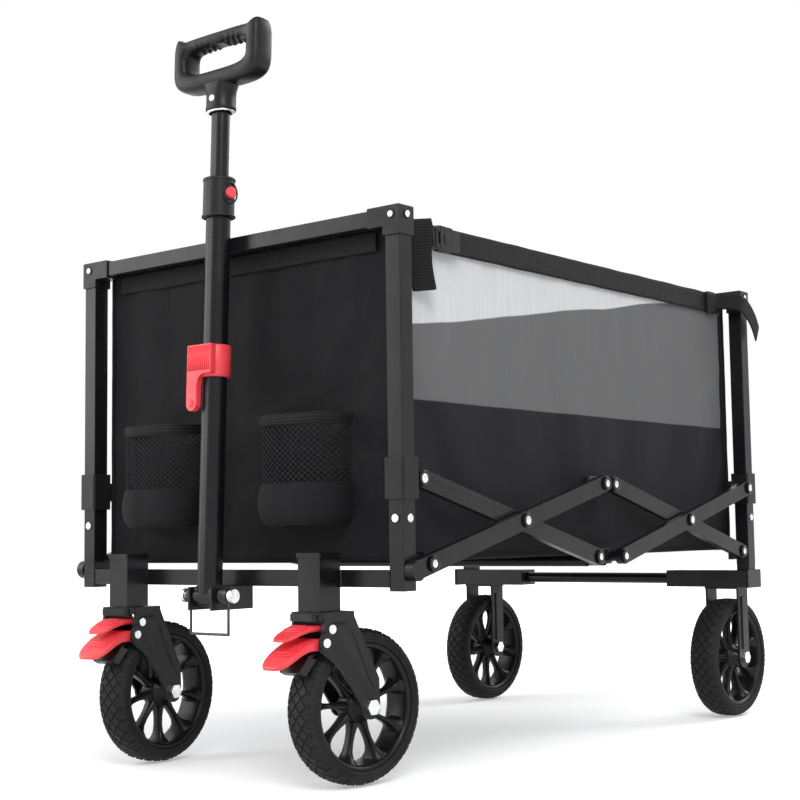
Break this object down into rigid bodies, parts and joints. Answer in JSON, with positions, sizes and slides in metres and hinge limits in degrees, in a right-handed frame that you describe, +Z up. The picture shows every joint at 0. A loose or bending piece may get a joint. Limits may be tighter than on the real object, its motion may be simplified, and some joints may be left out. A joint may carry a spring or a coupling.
{
  "type": "folding camp wagon",
  "caption": "Folding camp wagon with fabric basket, side scissor linkage, swivelling front casters with pedal locks and a telescoping pull handle.",
  "frame": {"origin": "on the ground, under the middle of the whole object's box", "axes": "+Z up, +Y towards the rear wheels, the pull handle is at -Y"},
  "size_m": [0.548, 0.957, 0.8661],
  "materials": {
    "frame_steel": "satin",
    "moulded_black": "matt",
    "rivet_silver": "satin",
    "cloth_black": "woven",
    "cloth_grey": "woven",
    "tyre_rubber": "matt",
    "rim_black": "satin",
    "red_plastic": "gloss"
  },
  "bodies": {
    "front_frame": {"front_posts": "frame_steel", "front_top_rail": "frame_steel", "front_crossbar": "frame_steel", "front_corner_caps": "moulded_black", "caster_sockets": "frame_steel", "front_stop_rivets": "rivet_silver", "front_pivot_brackets": "frame_steel", "handle_bracket": "frame_steel", "handle_pivot_bolt": "rivet_silver", "handle_spring": "rivet_silver", "front_panel": "cloth_black", "front_pockets": "cloth_black", "strap_buckles": "moulded_black"},
    "front_lower_links": {"front_lower_bars": "frame_steel", "front_cross_rivets": "rivet_silver"},
    "front_upper_links": {"front_upper_bars": "frame_steel"},
    "front_slide": {"front_sliders": "moulded_black", "front_slider_pins": "rivet_silver"},
    "mid_top": {"mid_top_plates": "frame_steel"},
    "mid_bottom": {"mid_cross_frame": "frame_steel", "side_panels": "cloth_grey", "floor_panel": "cloth_black", "side_straps": "cloth_black"},
    "rear_lower_links": {"rear_lower_bars": "frame_steel", "rear_cross_rivets": "rivet_silver"},
    "rear_upper_links": {"rear_upper_bars": "frame_steel"},
    "rear_slide": {"rear_sliders": "moulded_black", "rear_slider_pins": "rivet_silver"},
    "rear_frame": {"rear_posts": "frame_steel", "rear_top_rail": "frame_steel", "rear_corner_caps": "moulded_black", "rear_stop_rivets": "rivet_silver", "rear_crossbar": "frame_steel", "rear_boxes": "frame_steel", "rear_forks": "frame_steel", "rear_axles": "rivet_silver", "rear_panel": "cloth_black", "rear_pivot_brackets": "frame_steel"},
    "handle": {"handle_lower_tube": "frame_steel", "handle_collar": "moulded_black", "handle_clip": "red_plastic"},
    "handle_upper": {"handle_upper_tube": "frame_steel", "handle_grip": "moulded_black"},
    "button": {"collar_button": "red_plastic"},
    "caster_left": {"caster_fork_left": "moulded_black", "caster_bolts_left": "rivet_silver"},
    "lock_left": {"lock_pedal_left": "red_plastic"},
    "release_left": {"release_pedal_left": "red_plastic"},
    "front_wheel_left": {"front_tyre_left": "tyre_rubber", "front_rim_left": "rim_black"},
    "rear_wheel_left": {"rear_tyre_left": "tyre_rubber", "rear_rim_left": "rim_black"},
    "caster_right": {"caster_fork_right": "moulded_black", "caster_bolts_right": "rivet_silver"},
    "lock_right": {"lock_pedal_right": "red_plastic"},
    "release_right": {"release_pedal_right": "red_plastic"},
    "front_wheel_right": {"front_tyre_right": "tyre_rubber", "front_rim_right": "rim_black"},
    "rear_wheel_right": {"rear_tyre_right": "tyre_rubber", "rear_rim_right": "rim_black"}
  },
  "joints": [
    {"name": "fold", "type": "hinge", "parent": "mid_bottom", "child": "front_upper_links", "pos_m": [0, -0.01054, 0.238], "axis": [-1, 0, 0], "range_deg": [0, 50.7], "deforming": ["side_panels", "floor_panel", "side_straps"]},
    {"name": "front_slider", "type": "hinge", "parent": "front_upper_links", "child": "front_slide", "pos_m": [0, -0.35554, 0.328], "axis": [1, 0, 0], "range_deg": [0, 51.2]},
    {"name": "front_cross", "type": "hinge", "parent": "front_upper_links", "child": "front_lower_links", "pos_m": [0, -0.18304, 0.283], "axis": [1, 0, 0], "range_deg": [0, 101.9]},
    {"name": "front_foot", "type": "hinge", "parent": "front_lower_links", "child": "front_frame", "pos_m": [0, -0.35554, 0.238], "axis": [1, 0, 0], "range_deg": [-51.2, 0]},
    {"name": "mid_top_pin", "type": "hinge", "parent": "front_lower_links", "child": "mid_top", "pos_m": [0, -0.01054, 0.328], "axis": [1, 0, 0], "range_deg": [-51.2, 0]},
    {"name": "rear_fold", "type": "hinge", "parent": "mid_bottom", "child": "rear_upper_links", "pos_m": [0, 0.02946, 0.238], "axis": [1, 0, 0], "range_deg": [0, 51.2]},
    {"name": "rear_slider", "type": "hinge", "parent": "rear_upper_links", "child": "rear_slide", "pos_m": [0, 0.37446, 0.328], "axis": [1, 0, 0], "range_deg": [-51.2, 0]},
    {"name": "rear_cross", "type": "hinge", "parent": "rear_upper_links", "child": "rear_lower_links", "pos_m": [0, 0.20196, 0.283], "axis": [1, 0, 0], "range_deg": [-101.9, 0]},
    {"name": "rear_foot", "type": "hinge", "parent": "rear_lower_links", "child": "rear_frame", "pos_m": [0, 0.37446, 0.238], "axis": [1, 0, 0], "range_deg": [0, 51.2]},
    {"name": "swivel_left", "type": "hinge", "parent": "front_frame", "child": "caster_left", "pos_m": [-0.155, -0.40654, 0.189], "axis": [0, 0, 1], "continuous": true},
    {"name": "front_roll_left", "type": "hinge", "parent": "caster_left", "child": "front_wheel_left", "pos_m": [-0.16023, -0.35682, 0.085], "axis": [0.9945, 0.1045, 0], "continuous": true},
    {"name": "lock_left", "type": "hinge", "parent": "caster_left", "child": "lock_left", "pos_m": [-0.15354, -0.42046, 0.157], "axis": [0.9945, 0.1045, 0], "range_deg": [0, 10]},
    {"name": "release_left", "type": "hinge", "parent": "caster_left", "child": "release_left", "pos_m": [-0.15437, -0.41251, 0.171], "axis": [0.9945, 0.1045, 0], "range_deg": [-6.5, 0]},
    {"name": "rear_roll_left", "type": "hinge", "parent": "rear_frame", "child": "rear_wheel_left", "pos_m": [-0.22, 0.39346, 0.085], "axis": [1, 0, 0], "continuous": true},
    {"name": "swivel_right", "type": "hinge", "parent": "front_frame", "child": "caster_right", "pos_m": [0.155, -0.40654, 0.189], "axis": [0, 0, 1], "continuous": true},
    {"name": "front_roll_right", "type": "hinge", "parent": "caster_right", "child": "front_wheel_right", "pos_m": [0.16023, -0.35682, 0.085], "axis": [0.9945, -0.1045, 0], "continuous": true},
    {"name": "lock_right", "type": "hinge", "parent": "caster_right", "child": "lock_right", "pos_m": [0.15354, -0.42046, 0.157], "axis": [0.9945, -0.1045, 0], "range_deg": [0, 10]},
    {"name": "release_right", "type": "hinge", "parent": "caster_right", "child": "release_right", "pos_m": [0.15437, -0.41251, 0.171], "axis": [0.9945, -0.1045, 0], "range_deg": [-6.5, 0]},
    {"name": "rear_roll_right", "type": "hinge", "parent": "rear_frame", "child": "rear_wheel_right", "pos_m": [0.22, 0.39346, 0.085], "axis": [1, 0, 0], "continuous": true},
    {"name": "handle_swing", "type": "hinge", "parent": "front_frame", "child": "handle", "pos_m": [0, -0.42054, 0.204], "axis": [1, 0, 0], "range_deg": [0, 95]},
    {"name": "handle_extend", "type": "slide", "parent": "handle", "child": "handle_upper", "axis": [0, 0.0349, 0.9994], "range_m": [0, 0.26]},
    {"name": "button_press", "type": "slide", "parent": "handle", "child": "button", "axis": [-1, 0, 0], "range_m": [0, 0.003], "stiffness_N_per_m": 400}
  ],
  "couplings": [
    {"joint": "front_slider", "follows": "fold", "ratio": 1},
    {"joint": "front_cross", "follows": "fold", "ratio": 2},
    {"joint": "front_foot", "follows": "fold", "ratio": -1},
    {"joint": "mid_top_pin", "follows": "fold", "ratio": -1},
    {"joint": "rear_fold", "follows": "fold", "ratio": 1},
    {"joint": "rear_slider", "follows": "fold", "ratio": -1},
    {"joint": "rear_cross", "follows": "fold", "ratio": -2},
    {"joint": "rear_foot", "follows": "fold", "ratio": 1},
    {"joint": "release_left", "follows": "lock_left", "ratio": -0.6},
    {"joint": "release_right", "follows": "lock_right", "ratio": -0.6}
  ]
}
